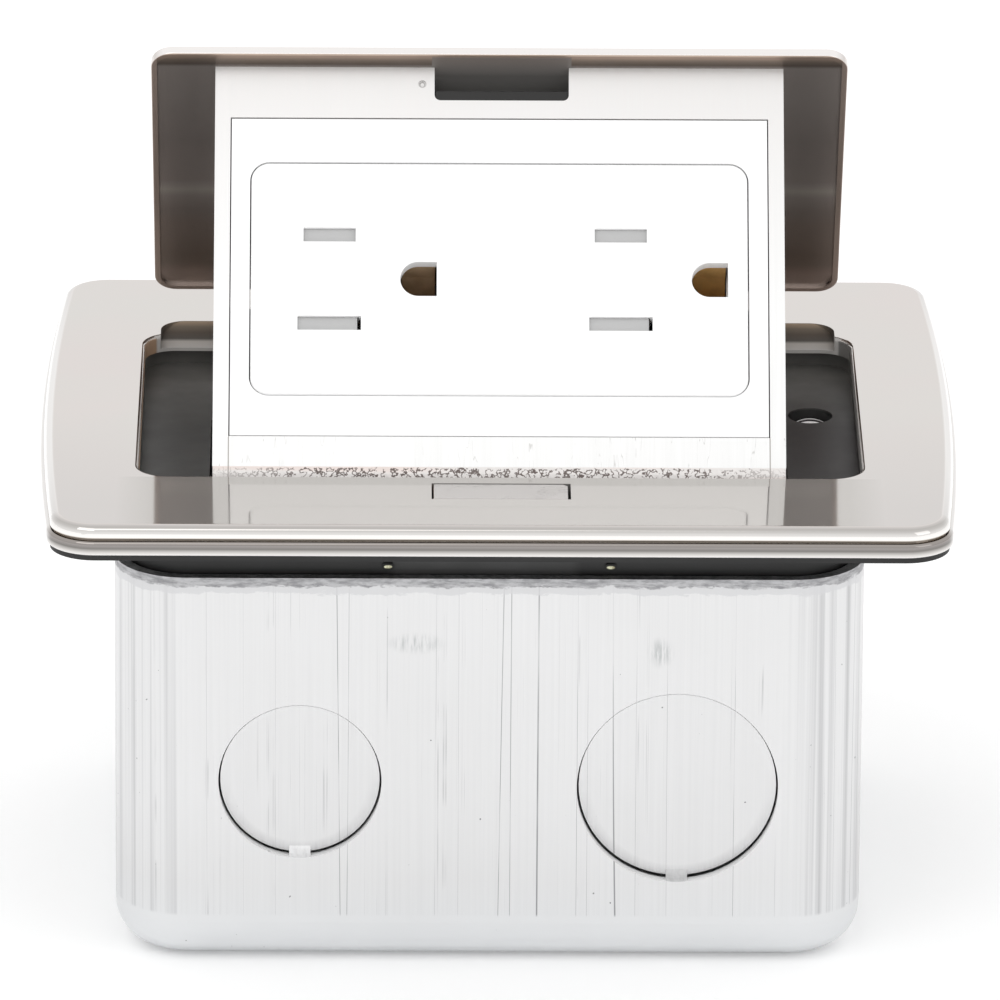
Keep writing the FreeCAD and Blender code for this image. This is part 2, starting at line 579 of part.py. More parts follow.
def receptacle_body():
    half_w, half_h = BODY_W / 2, BODY_H / 2
    t = BODY_WALL
    outer = face_prism(BODY_W, BODY_H, 1.5, BODY_FRONT, BODY_BACK)
    inner = block(-half_w + t, half_w - t, BODY_FRONT + 1.2, BODY_BACK - t,
                  FACE_S - half_h + t, FACE_S + half_h - t)
    body = outer.cut(inner)
    for x in OUTLETS:
        for s in (SLOT_RISE, -SLOT_RISE):
            body = body.cut(slot_cut(x, FACE_S + s, 9.4, 3.4, 3, 6))
        body = body.cut(slot_cut(x + GROUND_X, FACE_S, 6.2, 7.4, 3, 6))
    for x in TERMINALS:
        body = body.cut(block(x - 3.2, x + 3.2, TAB_D - 0.1, TAB_D + 0.8, FACE_S - 20, FACE_S + 20))
        body = body.cut(rod(1.5 + SNUG, (x, TERMINAL_D, FACE_S - 20), Z, 40))
    body = body.cut(slot_cut(OUTLETS[1] + GROUND_X, FACE_S, 3.2, 1.0, 20, 30))
    return [on_panel(body.cut(rod(1.5 + SNUG, (GREEN_X, 20, FACE_S), Y, 10)))]


def leaf(x0, x1, points, thick):
    low = [(d, s + thick) for d, s in reversed(points)]
    return side_prism(points + low, x0, x1)


def gripping_leaves(x, s, half, depth):
    points = [(depth, 1.5), (depth + 2.6, 0.75), (depth + 8.6, 0.55)]
    upper = leaf(x - half, x + half, [(d, s + h) for d, h in points], 0.45)
    lower = leaf(x - half, x + half, [(d, s - h - 0.45) for d, h in points], 0.45)
    return [upper, lower]


def line_contacts(side):
    s = FACE_S + side * SLOT_RISE
    depth = BODY_FRONT + 1.25
    parts = []
    for x in OUTLETS:
        parts += gripping_leaves(x, s, 3.2, depth)
    bus = block(-27, 21, TAB_D, TAB_D + 0.7, s - 1.6, s + 1.6)
    parts.append(bus)
    wall = BODY_H / 2 + 0.05
    for x in TERMINALS:
        a, b = sorted((s, FACE_S + side * (wall + 0.7)))
        parts.append(block(x - 3, x + 3, TAB_D, TAB_D + 0.7, a, b))
        a, b = sorted((FACE_S + side * wall, FACE_S + side * (wall + 0.7)))
        parts.append(block(x - 3.8, x + 3.8, TAB_D, TAB_D + 9, a, b))
    body = fused(parts)
    for x in TERMINALS:
        body = body.cut(rod(1.55, (x, TERMINAL_D, FACE_S - 20), Z, 40))
    return [on_panel(body)]


def terminal_screws(side):
    base = BODY_H / 2 + 0.8
    out = []
    for x in TERMINALS:
        head = rod(3.1, (x, TERMINAL_D, base), Z, 1.9)
        shank = rod(1.5, (x, TERMINAL_D, base - 3.8), Z, 4.0)
        drive = block(x - 2.4, x + 2.4, TERMINAL_D - 0.45, TERMINAL_D + 0.45, base + 1.1, base + 2)
        screw = fused([head, shank]).cut(drive)
        if side < 0:
            screw.rotate(V(x, TERMINAL_D, 0), Y, 180)
        screw.translate(V(0, 0, FACE_S))
        out.append(on_panel(screw))
    return out


def ground_contacts():
    parts = []
    for x in OUTLETS:
        gx = x + GROUND_X
        points = [(FACE_SKIN + 0.2, 2.6), (5.5, 2.3), (12.0, 0.15)]
        for sign in (1, -1):
            lift = 0 if sign > 0 else -0.5
            parts.append(leaf(gx - GROUND_HALF, gx + GROUND_HALF,
                              [(d, FACE_S + sign * h + lift) for d, h in points], 0.5))
        parts.append(block(gx - GROUND_HALF, gx + GROUND_HALF, 12.0, 12.6, FACE_S - 2, FACE_S + 2))
    left, right = [x + GROUND_X for x in OUTLETS]
    parts.append(block(left, right, 12.0, 12.6, FACE_S - 1.5, FACE_S + 1.5))
    parts.append(block(right - 1.4, right + 1.4, 12.3, BODY_BACK + 0.05, FACE_S - 0.35, FACE_S + 0.35))
    return [on_panel(fused(parts))]


def device_strap():
    half = BRACKET_W / 2 - SIDE_T - FIT
    d0 = BODY_BACK + FIT
    bar = block(-half, half, d0, d0 + 1.2, FACE_S - 6, FACE_S + 6)
    end = block(half - 1.2, half, d0, STRAP_D + 3.4, FACE_S - 6, FACE_S + 6)
    strap = fused([bar] + pair(end))
    for d, s in strap_screw_spots():
        strap = strap.cut(rod(1.25 + SNUG, (-60, d, s), X, 120))
    strap = strap.cut(rod(1.6, (GREEN_X, 20, FACE_S), Y, 20))
    return [on_panel(strap)]


def green_screw():
    d = BODY_BACK + FIT + 1.2
    head = hexagon(3.4, 2.0, (GREEN_X, d + 0.05, FACE_S))
    shank = rod(1.5, (GREEN_X, d - 2.8, FACE_S), Y, 3.0)
    drive = block(GREEN_X - 4, GREEN_X + 4, d + 1.2, d + 3, FACE_S - 0.45, FACE_S + 0.45)
    return [on_panel(fused([head, shank]).cut(drive))]


# ---- latch ----
def latch_button():
    x0, x1 = OPEN_X - BUTTON_W / 2, OPEN_X + BUTTON_W / 2
    pad = block(x0, x1, BUTTON_FRONT, BUTTON_REAR, -BUTTON_T, 0)
    corner = [e for e in edges_along(pad, Z)
              if e.BoundBox.XMin > x1 - 0.01 and e.BoundBox.YMin > BUTTON_REAR - 0.01]
    pad = pad.makeChamfer(0.6, corner)
    pad = pad.makeFillet(0.15, edges_at(pad, 0))
    y = RAMP_Y + RAMP_FIT + BOLT_Z
    ramp = [(y - STEM_FOOT, STEM_FOOT), (y - STEM_FOOT + STEM_T, STEM_FOOT),
            (y + BUTTON_T + STEM_T, -BUTTON_T), (y + BUTTON_T, -BUTTON_T)]
    return [fused([pad, side_prism(ramp, -STEM_HALF, STEM_HALF)])]


def latch_bolt():
    half, foot = BOLT_W / 2, BOLT_Z - BOLT_T
    crank_end = CRANK_Y + BOLT_T
    body = block(-half, half, RAMP_Y - 1.1, crank_end, foot, BOLT_Z)
    hole_end = RAMP_Y + BOLT_T + STEM_T + 2 * RAMP_FIT
    body = body.cut(block(-STEM_HALF - 0.1, STEM_HALF + 0.1, RAMP_Y, hole_end, foot - 1, 0))
    wide = TONGUE_W / 2
    crank = block(-wide, wide, CRANK_Y, crank_end, foot, TONGUE_Z)
    tongue = block(-wide, wide, CRANK_Y, BOLT_TIP, TONGUE_Z - TONGUE_T, TONGUE_Z)
    return [fused([body, crank, tongue])]


def bolt_retainer():
    half, front = HOLDER_HALF, HOLDER_FRONT
    plate = block(-half, half, front, HOLDER_REAR, SEAT_Z - 0.7, SEAT_Z)
    rail = block(BOLT_W / 2 - 1.5, BOLT_W / 2, front, HOLDER_REAR, SEAT_Z - 0.5, BOLT_Z - BOLT_T - 0.1)
    lip = block(-half, half, front, front + HOLDER_LIP, RIVET_Z - 1.0, SEAT_Z)
    body = fused([plate, lip] + pair(rail))
    body = body.cut(block(-3.3, 3.3, -35.5, -31.5, SEAT_Z - 2, SEAT_Z + 1))
    for sx in (-1, 1):
        body = body.cut(rod(RIVET_R + SNUG, (sx * RIVET_X, -45, RIVET_Z), Y, 12))
    return [body]


def retainer_rivets():
    wall = -BOX_D / 2 + BOX_SHEET + NECK_GAP
    out = []
    for sx in (-1, 1):
        x = sx * RIVET_X
        lip = HOLDER_FRONT + HOLDER_LIP
        shank = rod(RIVET_R, (x, wall - 0.3, RIVET_Z), Y, lip + 0.2 - wall + 0.3)
        head = rod(RIVET_HEAD_R, (x, wall - 0.38, RIVET_Z), Y, 0.38)
        head = head.common(block(x - 1, x + 1, wall - 1, wall, RIVET_Z - RIVET_FLAT, RIVET_Z + RIVET_FLAT))
        tail = rod(0.65, (x, lip, RIVET_Z), Y, 0.45)
        out.append(fused([shank, head, tail]))
    return out


def button_springs():
    spring = coil_spring(1.25, 0.25, -BUTTON_T - SEAT_Z - 0.1, 4)
    spring.translate(V(SPRING_X, SPRING_Y, SEAT_Z + 0.05))
    return pair(spring)


def stop_pads():
    under = TRAY_Z - TRAY_T
    pad = block(LUG_IN + 0.1, LUG_IN + 2.7, STOP_Y0, STOP_Y1, under - STOP_PAD_T, under)
    return pair(pad)


def torsion_springs():
    turns = COIL_TURNS + 0.25
    spring = coil(COIL_R, WIRE_R, COIL_PITCH, turns)
    spring.rotate(V(0, 0, 0), Y, 90)
    x0 = PIN_IN + 1.9
    spring.translate(V(x0, HINGE_Y, HINGE_Z))
    front = rod(WIRE_R, (x0, SEAT_Y + 0.2, HINGE_Z - COIL_R), Y, HINGE_Y - SEAT_Y - 0.1)
    x1 = x0 + COIL_PITCH * turns
    top = -PLATE_SKIN - FLANGE_T - 0.2
    rear = rod(WIRE_R, (x1, HINGE_Y + COIL_R, HINGE_Z - 0.1), Z, top - HINGE_Z + 0.1)
    return pair(spring.multiFuse([front, rear]))


PIECES = {
    "steel_box": steel_box,
    "box_lugs": box_lugs,
    "ground_screw": ground_screw,
    "mech_frame": mech_frame,
    "gasket": gasket,
    "cover_plate": cover_plate,
    "plate_screws": plate_screws,
    "frame_screw": frame_screw,
    "hinge_pins": hinge_pins,
    "pin_clips": pin_clips,
    "torsion_springs": torsion_springs,
    "stop_pads": stop_pads,
    "bolt_retainer": bolt_retainer,
    "retainer_rivets": retainer_rivets,
    "latch_button": latch_button,
    "button_springs": button_springs,
    "latch_bolt": latch_bolt,
    "lid": lid,
    "lid_nuts": lid_nuts,
    "bracket": bracket,
    "catch_block": catch_block,
    "insert_panel": insert_panel,
    "receptacle_face": receptacle_face,
    "shutter_left": lambda: shutter(OUTLETS[0]),
    "shutter_right": lambda: shutter(OUTLETS[1]),
    "shutter_springs": shutter_springs,
    "receptacle_body": receptacle_body,
    "hot_contacts": lambda: line_contacts(1),
    "neutral_contacts": lambda: line_contacts(-1),
    "ground_contacts": ground_contacts,
    "hot_screws": lambda: terminal_screws(1),
    "neutral_screws": lambda: terminal_screws(-1),
    "device_strap": device_strap,
    "green_screw": green_screw,
    "strap_screws": strap_screws,
}


def main():
    os.makedirs("parts", exist_ok=True)
    lift = V(0, 0, BOX_H - RIM_Z)
    for name, make in PIECES.items():
        solids = []
        for shape in make():
            shape.translate(lift)
            solids += shape.Solids
        Part.makeCompound(solids).exportStep(os.path.join("parts", name + ".step"))


main()
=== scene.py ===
import math
import random

import bmesh
import bpy
from mathutils import Matrix, Vector


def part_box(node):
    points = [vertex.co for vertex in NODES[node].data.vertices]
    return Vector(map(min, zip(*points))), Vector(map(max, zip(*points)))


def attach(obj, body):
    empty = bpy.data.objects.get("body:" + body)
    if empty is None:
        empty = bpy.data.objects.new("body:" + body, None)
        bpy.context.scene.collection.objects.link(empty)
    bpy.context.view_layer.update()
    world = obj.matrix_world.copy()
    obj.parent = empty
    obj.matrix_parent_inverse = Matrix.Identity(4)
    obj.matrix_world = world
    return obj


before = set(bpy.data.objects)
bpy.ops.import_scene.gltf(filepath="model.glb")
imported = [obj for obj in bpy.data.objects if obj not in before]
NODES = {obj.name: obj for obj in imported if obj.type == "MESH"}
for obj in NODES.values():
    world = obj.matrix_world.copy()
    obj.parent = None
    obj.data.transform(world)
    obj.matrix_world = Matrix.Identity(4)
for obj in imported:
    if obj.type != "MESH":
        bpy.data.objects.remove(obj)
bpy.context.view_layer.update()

MM = 0.001

# ---- places: the plate's and box's tops read from model.glb, the rest given ----
# places taken from the frame
_, PLATE_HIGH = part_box("cover_plate")
_, BOX_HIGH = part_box("steel_box")
PLATE_TOP, BOX_TOP = PLATE_HIGH[2], BOX_HIGH[2]
LEAN = math.radians(40.4)                    # the open panel leans back this far
PANEL_UP = Vector((0, math.sin(LEAN), math.cos(LEAN)))
FOOT = (0, -27.13, 65.87)                    # foot of the open bracket's front face, mm
UNDER_LID = (0, -0.834, -0.552)              # the way that the open lid's underside faces
LID_END = (0, -0.552, 0.834)                 # the way that its free end faces
BRACKET_FRONT = (0, -0.762, 0.648)           # the way that the bracket's front faces
KNOCKOUTS = [((-26.45, 26.25), 10.9), ((23.95, 25.5), 13.45)]    # (x, z) and radius, mm
SIDE_SEAM = 36.17                            # from the middle to the bracket's side seams, mm
BRACKET_HALF = 38.25                         # half the bracket's width, mm
LIP_STEP = 0.35                              # between sections of the sawn lip, mm
SCOOP_LIP, SCOOP_REAR = 25.3, 32.0           # the plate's finger scoop, front to back, mm
OPENING_FRONT = -30.7                        # the front edge of the plate's opening, mm
LID_SIDE, LID_TIP = 46.15, 111.9             # where the lid's turned side and end begin, mm
BOX_MIDDLE = -1.25                           # the box stands a little left of the plate, mm
BOX_FRONT = -41.3                            # front face of the box, mm
LINES_BACK = -39.5                           # the drawn lines are held at this depth, mm
NECK_TOP = 61                                # where the dark neck meets the trays, mm
RIVET_X, RIVET_Z = 14.8, 56.3                # the painted highlight specks on the rivets, mm
PIP = (-10.4, 8.58, 107.83)                  # tooling pip in the bracket, mm
NOTCH_X = 0.3                                # middle of the notch in the bracket, mm
SMUDGES = [((-11, -41, 46), (4.5, 3, 1.8)), ((21.5, -41, 44.8), (2.2, 3, 2.6))]


# ---- node helpers ----
class Look:
    """A Principled material with short calls for the textures that drive it."""

    def __init__(self, name, color, metallic=0.0, roughness=0.5):
        self.material = bpy.data.materials.new(name)
        self.material.use_nodes = True
        self.tree = self.material.node_tree
        self.shader = self.tree.nodes["Principled BSDF"]
        self.shader.inputs["Base Color"].default_value = (*color, 1)
        self.shader.inputs["Metallic"].default_value = metallic
        self.shader.inputs["Roughness"].default_value = roughness
        self.coords = self.tree.nodes.new("ShaderNodeTexCoord")
        self.source = self.coords.outputs["Object"]

    def link(self, out, to):
        self.tree.links.new(out, to)

    def place(self, scale=(1, 1, 1), shift=(0, 0, 0)):
        """Object coordinates in millimetres, stretched by scale."""
        node = self.tree.nodes.new("ShaderNodeMapping")
        node.inputs["Scale"].default_value = [s / MM for s in scale]
        node.inputs["Location"].default_value = shift
        self.link(self.source, node.inputs["Vector"])
        return node.outputs["Vector"]

    def level_front(self, y):
        """Hold y at or behind a depth, so that later noise runs straight over what leans in."""
        apart = self.tree.nodes.new("ShaderNodeSeparateXYZ")
        self.link(self.coords.outputs["Object"], apart.inputs[0])
        joined = self.tree.nodes.new("ShaderNodeCombineXYZ")
        self.link(apart.outputs["X"], joined.inputs["X"])
        self.link(self.math("MAXIMUM", apart.outputs["Y"], y * MM), joined.inputs["Y"])
        self.link(apart.outputs["Z"], joined.inputs["Z"])
        self.source = joined.outputs["Vector"]

    def noise(self, scale=(1, 1, 1), detail=3.0, rough=0.55, shift=(0, 0, 0)):
        node = self.tree.nodes.new("ShaderNodeTexNoise")
        node.inputs["Scale"].default_value = 1.0
        node.inputs["Detail"].default_value = detail
        node.inputs["Roughness"].default_value = rough
        self.link(self.place(scale, shift), node.inputs["Vector"])
        return node.outputs["Fac"]

    def remap(self, value, low, high, to_low=0.0, to_high=1.0, smooth=False):
        node = self.tree.nodes.new("ShaderNodeMapRange")
        node.interpolation_type = "SMOOTHSTEP" if smooth else "LINEAR"
        for key, number in zip(("From Min", "From Max", "To Min", "To Max"),
                               (low, high, to_low, to_high)):
            node.inputs[key].default_value = number
        self.link(value, node.inputs["Value"])
        return node.outputs["Result"]

    def math(self, kind, a, b=0.0):
        node = self.tree.nodes.new("ShaderNodeMath")
        node.operation = kind
        for socket, item in zip(node.inputs, (a, b)):
            if isinstance(item, (int, float)):
                socket.default_value = item
            else:
                self.link(item, socket)
        return node.outputs[0]

    def times(self, first, *others):
        for other in others:
            first = self.math("MULTIPLY", first, other)
        return first

    def most(self, first, *others):
        for other in others:
            first = self.math("MAXIMUM", first, other)
        return first

    def axis(self, name):
        """One object coordinate in millimetres."""
        node = self.tree.nodes.new("ShaderNodeSeparateXYZ")
        self.link(self.place(), node.inputs["Vector"])
        return node.outputs[name]

    def aside(self, middle=0.0):
        """How far a point lies from the plane x = middle, to either side, in millimetres."""
        x = self.axis("X")
        return self.math("ABSOLUTE", self.math("ADD", x, -middle) if middle else x)

    def facing(self, direction):
        """How far the surface faces a direction fixed to the object, from -1 to 1."""
        node = self.tree.nodes.new("ShaderNodeVectorMath")
        node.operation = "DOT_PRODUCT"
        self.link(self.coords.outputs["Normal"], node.inputs[0])
        node.inputs[1].default_value = direction
        return node.outputs["Value"]

    def along(self, direction, start):
        """How far past start a point lies along a direction fixed to the object, in millimetres."""
        node = self.tree.nodes.new("ShaderNodeVectorMath")
        node.operation = "DOT_PRODUCT"
        self.link(self.place((1, 1, 1), [-v for v in start]), node.inputs[0])
        node.inputs[1].default_value = direction
        return node.outputs["Value"]

    def distance(self, centre):
        """How far a point lies from centre, in millimetres."""
        node = self.tree.nodes.new("ShaderNodeVectorMath")
        node.operation = "LENGTH"
        self.link(self.place((1, 1, 1), [-c for c in centre]), node.inputs[0])
        return node.outputs["Value"]

    def radial(self, x, z):
        """How long the vector (x, z) is."""
        return self.math("SQRT", self.math("ADD", self.times(x, x), self.times(z, z)))

    def ridge(self, noise, width):
        """Thin lines where a noise crosses its middle value."""
        off = self.math("ABSOLUTE", self.math("SUBTRACT", noise, 0.5))
        return self.remap(off, width, width * 0.4)

    def ramp(self, value, stops):
        """Colours at places from 0 to 1, straight between them."""
        node = self.tree.nodes.new("ShaderNodeValToRGB")
        bar = node.color_ramp.elements
        bar[0].position, bar[1].position = stops[0][0], stops[-1][0]
        for place, _ in stops[1:-1]:
            bar.new(place)
        for element, (_, color) in zip(bar, stops):
            element.color = (*color, 1)
        self.link(value, node.inputs["Fac"])
        return node.outputs["Color"]

    def spot(self, centre, size, soft=0.6):
        """1 inside an ellipsoid round centre, in millimetres, fading to 0 at its edge."""
        node = self.tree.nodes.new("ShaderNodeVectorMath")
        node.operation = "LENGTH"
        scale = [1 / s for s in size]
        shift = [-c / s for c, s in zip(centre, size)]
        self.link(self.place(scale, shift), node.inputs[0])
        return self.remap(node.outputs["Value"], 1.0, 1.0 - soft, 0.0, 1.0, smooth=True)

    def mix(self, factor, a, b):
        node = self.tree.nodes.new("ShaderNodeMix")
        node.data_type = "RGBA"
        for socket, item in ((node.inputs[6], a), (node.inputs[7], b)):
            if isinstance(item, tuple):
                socket.default_value = (*item, 1)
            else:
                self.link(item, socket)
        self.link(factor, node.inputs[0])
        return node.outputs[2]

    def color(self, value):
        self.link(value, self.shader.inputs["Base Color"])

    def roughness(self, value):
        self.link(value, self.shader.inputs["Roughness"])

    def metallic(self, value):
        self.link(value, self.shader.inputs["Metallic"])

    def bump(self, height, strength, distance):
        node = self.tree.nodes.new("ShaderNodeBump")
        node.inputs["Strength"].default_value = strength
        node.inputs["Distance"].default_value = distance * MM
        self.link(height, node.inputs["Height"])
        self.link(node.outputs["Normal"], self.shader.inputs["Normal"])


def dress(look, *names):
    """Give CAD nodes a look as their only material."""
    for name in names:
        node = NODES[name]
        node.data.materials.clear()
        node.data.materials.append(look.material)


# ---- materials ----
def satin_nickel():
    """The plate: even and warm on the flats, with a painted highlight on its bead and a grey band
    of painted shade round its edge.
    """
    look = Look("satin_nickel", (0.70, 0.665, 0.64), 1.0, 0.1)
    top = PLATE_TOP / MM
    cloud = look.noise((0.045, 0.045, 0.045), 2)
    flat = look.mix(look.remap(cloud, 0.3, 0.7), (0.705, 0.655, 0.63), (0.69, 0.665, 0.635))
    # painted highlight and painted shade on the bead's rounded edge, lighter or darker by which way
    # it faces
    bead = look.ramp(look.facing((0, 0, 1)), [
        (0.0, (0.86, 0.84, 0.82)), (0.35, (0.74, 0.72, 0.70)), (0.62, (0.56, 0.54, 0.52)),
        (0.80, (0.50, 0.48, 0.46)), (0.93, (0.60, 0.57, 0.55)), (0.985, (0.70, 0.66, 0.635))])
    # painted shade and highlight on the band below the bead: grey, a dark painted crease shade,
    # bright at its foot
    height = look.remap(look.axis("Z"), top - 4.0, top - 1.7)
    foot = look.ramp(height, [
        (0.0, (0.90, 0.88, 0.87)), (0.20, (0.62, 0.60, 0.58)), (0.36, (0.36, 0.345, 0.33)),
        (0.44, (0.21, 0.20, 0.19)), (0.60, (0.29, 0.27, 0.26)), (0.80, (0.36, 0.33, 0.31)),
        (0.88, (0.23, 0.20, 0.17)), (1.0, (0.30, 0.25, 0.20))])
    low = look.remap(look.axis("Z"), top - 1.60, top - 1.74)
    edge = look.mix(low, bead, foot)
    x, y = look.aside(), look.axis("Y")
    # painted highlight: the edge is lightened along the plate's left and right sides
    side = look.times(look.remap(x, 57.5, 60.0), look.remap(y, -47, -44))
    edge = look.mix(look.times(side, 0.85), edge, (0.88, 0.865, 0.85))
    level = look.remap(look.facing((0, 0, 1)), 0.985, 0.999)
    sloped = look.remap(look.facing((0, 0, 1)), 0.999, 0.985)
    outer = look.most(look.remap(x, 49.6, 49.9),
                      look.most(look.remap(y, -44.0, -44.4), look.remap(y, 44.0, 44.4)))
    opening = look.remap(outer, 1, 0)

    # painted reflection and painted shade on the opening's upright walls: coppery where they face
    # +x, dark grey elsewhere
    painted_coppery_reflection, grey = (0.50, 0.33, 0.22), (0.24, 0.23, 0.22)
    wall = look.mix(look.remap(look.facing((1, 0, 0)), 0.3, 0.7), grey, painted_coppery_reflection)
    upright = look.remap(look.facing((0, 0, 1)), 0.6, 0.3)
    sunk = look.times(look.remap(look.axis("Z"), top - 0.02, top - 0.05),
                      look.remap(y, SCOOP_LIP, SCOOP_LIP + 0.2))
    sunk = look.times(sunk, opening)
    # painted shade and reflection across the finger scoop: pale at its lip, dark beyond the middle,
    # warmer and paler at the back
    scoop_painted_shading = look.ramp(look.remap(y, SCOOP_LIP, SCOOP_REAR), [
        (0.0, (0.62, 0.60, 0.58)), (0.10, (0.52, 0.50, 0.48)), (0.43, (0.52, 0.49, 0.46)),
        (0.53, (0.12, 0.11, 0.10)), (0.72, (0.12, 0.10, 0.082)), (0.86, (0.20, 0.165, 0.13)),
        (0.97, (0.42, 0.32, 0.23)), (1.0, (0.6, 0.55, 0.5))])
    inner = look.mix(sunk, look.mix(upright, flat, wall), scoop_painted_shading)
    body = look.mix(outer, inner, look.mix(sloped, flat, edge))

    # painted reflection: the flat top is darkened towards the front
    painted_front_reflection = look.times(look.remap(y, -5, -42), level)
    # painted reflection of the open lid on the flat in front of the opening, darker and a little
    # less metallic
    painted_lid_reflection = look.times(look.remap(y, OPENING_FRONT, OPENING_FRONT - 0.3), level)
    painted_lid_reflection = look.times(painted_lid_reflection, look.remap(x, 51, 46.5))
    body = look.mix(painted_front_reflection, body, (0.64, 0.61, 0.59))
    look.color(look.mix(painted_lid_reflection, body, (0.548, 0.523, 0.498)))
    # the scoop and the opening's walls, which carry painted shade, are made less metallic and
    # rougher
    dull_and_painted_shade = look.most(sunk, look.times(upright, opening))
    loss = look.most(look.times(dull_and_painted_shade, 0.85), look.times(painted_lid_reflection, 0.25))
    look.metallic(look.remap(loss, 0, 1, 1, 0))
    look.roughness(look.most(look.remap(cloud, 0.3, 0.7, 0.05, 0.08), look.times(dull_and_painted_shade, 0.35)))
    look.bump(look.noise((5, 5, 5), 2), 0.03, 0.01)
    return look


def lid_nickel():
    """The lid: satin outside with a painted highlight on its free end; rougher underneath, painted
    dark brown as shade with a painted reflection band; a paler rim.
    """
    look = Look("lid_nickel", (0.70, 0.665, 0.64), 1.0, 0.2)
    cloud = look.noise((0.05, 0.05, 0.05), 2)
    outside = look.mix(cloud, (0.69, 0.65, 0.625), (0.71, 0.67, 0.645))
    under = look.remap(look.facing(UNDER_LID), 0.6, 0.9)
    # painted highlight: the lid's free end is paler
    end = look.remap(look.facing(LID_END), 0.6, 0.9)
    outside = look.mix(end, outside, (0.90, 0.87, 0.85))
    # painted shade and reflection on the underside: dark brown, with a pale painted reflection band
    # part way up and darkest just short of its end; its turned sides and end paler
    dull_and_painted_shade = look.ramp(look.remap(look.axis("Z"), 69, 113), [
        (0.0, (0.31, 0.25, 0.22)), (0.06, (0.30, 0.24, 0.21)), (0.10, (0.22, 0.18, 0.155)),
        (0.14, (0.21, 0.17, 0.145)), (0.27, (0.25, 0.205, 0.18)), (0.33, (0.27, 0.235, 0.215)),
        (0.385, (0.36, 0.32, 0.295)), (0.412, (0.47, 0.43, 0.40)), (0.45, (0.34, 0.30, 0.28)),
        (0.62, (0.265, 0.235, 0.22)), (0.8, (0.275, 0.25, 0.235)), (0.925, (0.275, 0.25, 0.235)),
        (0.936, (0.10, 0.08, 0.066)), (0.952, (0.20, 0.16, 0.13)), (0.966, (0.38, 0.29, 0.235))])
    blotch = look.remap(look.noise((0.09, 0.03, 0.03), 3), 0.35, 0.75, 0, 0.3)
    dull_and_painted_shade = look.mix(blotch, dull_and_painted_shade, (0.20, 0.175, 0.165))
    sides = look.remap(look.aside(), LID_SIDE, LID_SIDE + 0.1)
    tip = look.remap(look.axis("Z"), LID_TIP, LID_TIP + 0.1)
    dull_and_painted_shade = look.mix(sides, dull_and_painted_shade, (0.34, 0.275, 0.24))
    dull_and_painted_shade = look.mix(tip, dull_and_painted_shade, (0.62, 0.49, 0.40))

    # a painted patch of light and shade, not metallic, where the underside shows through the notch,
    # narrower where it meets the lid's end
    narrower = look.remap(look.axis("Z"), 109.9, 109.6)
    notch = look.remap(look.math("SUBTRACT", look.aside(NOTCH_X), narrower), 9.45, 9.35)
    behind = look.times(notch, look.remap(look.axis("Z"), LID_TIP, LID_TIP - 0.3),
                        look.remap(look.axis("Z"), 99, 101))
    dull_and_painted_shade = look.mix(behind, dull_and_painted_shade, look.ramp(look.remap(look.axis("Z"), 104, 112), [
        (0.0, (0.36, 0.355, 0.34)), (0.3, (0.26, 0.25, 0.24)), (0.52, (0.13, 0.124, 0.118)),
        (0.72, (0.15, 0.137, 0.128)), (0.95, (0.17, 0.145, 0.13))]))
    look.metallic(look.remap(look.times(behind, under), 0, 1, 1, 0))
    look.color(look.mix(under, outside, dull_and_painted_shade))
    look.roughness(look.remap(under, 0, 1, 0.14, 0.42))
    look.bump(look.noise((4, 4, 4), 2), 0.03, 0.01)
    return look


def button_nickel():
    """The latch tab: as the plate, a shade greyer, with a few short scratches."""
    look = Look("button_nickel", (0.6, 0.575, 0.555), 1.0, 0.22)
    scratch = look.ridge(look.noise((0.35, 2.2, 1.0), 2, 0.5), 0.012)
    here = look.remap(look.noise((0.25, 0.25, 0.25), 1, 0.5, (7, 3, 0)), 0.52, 0.6)
    face = look.mix(look.noise((0.2, 0.2, 0.2), 2), (0.53, 0.505, 0.49), (0.58, 0.555, 0.54))
    look.color(look.mix(look.times(scratch, here), face, (0.30, 0.285, 0.28)))
    look.roughness(look.remap(here, 0, 1, 0.2, 0.28))
    look.bump(look.noise((4, 4, 4), 2), 0.04, 0.01)
    return look


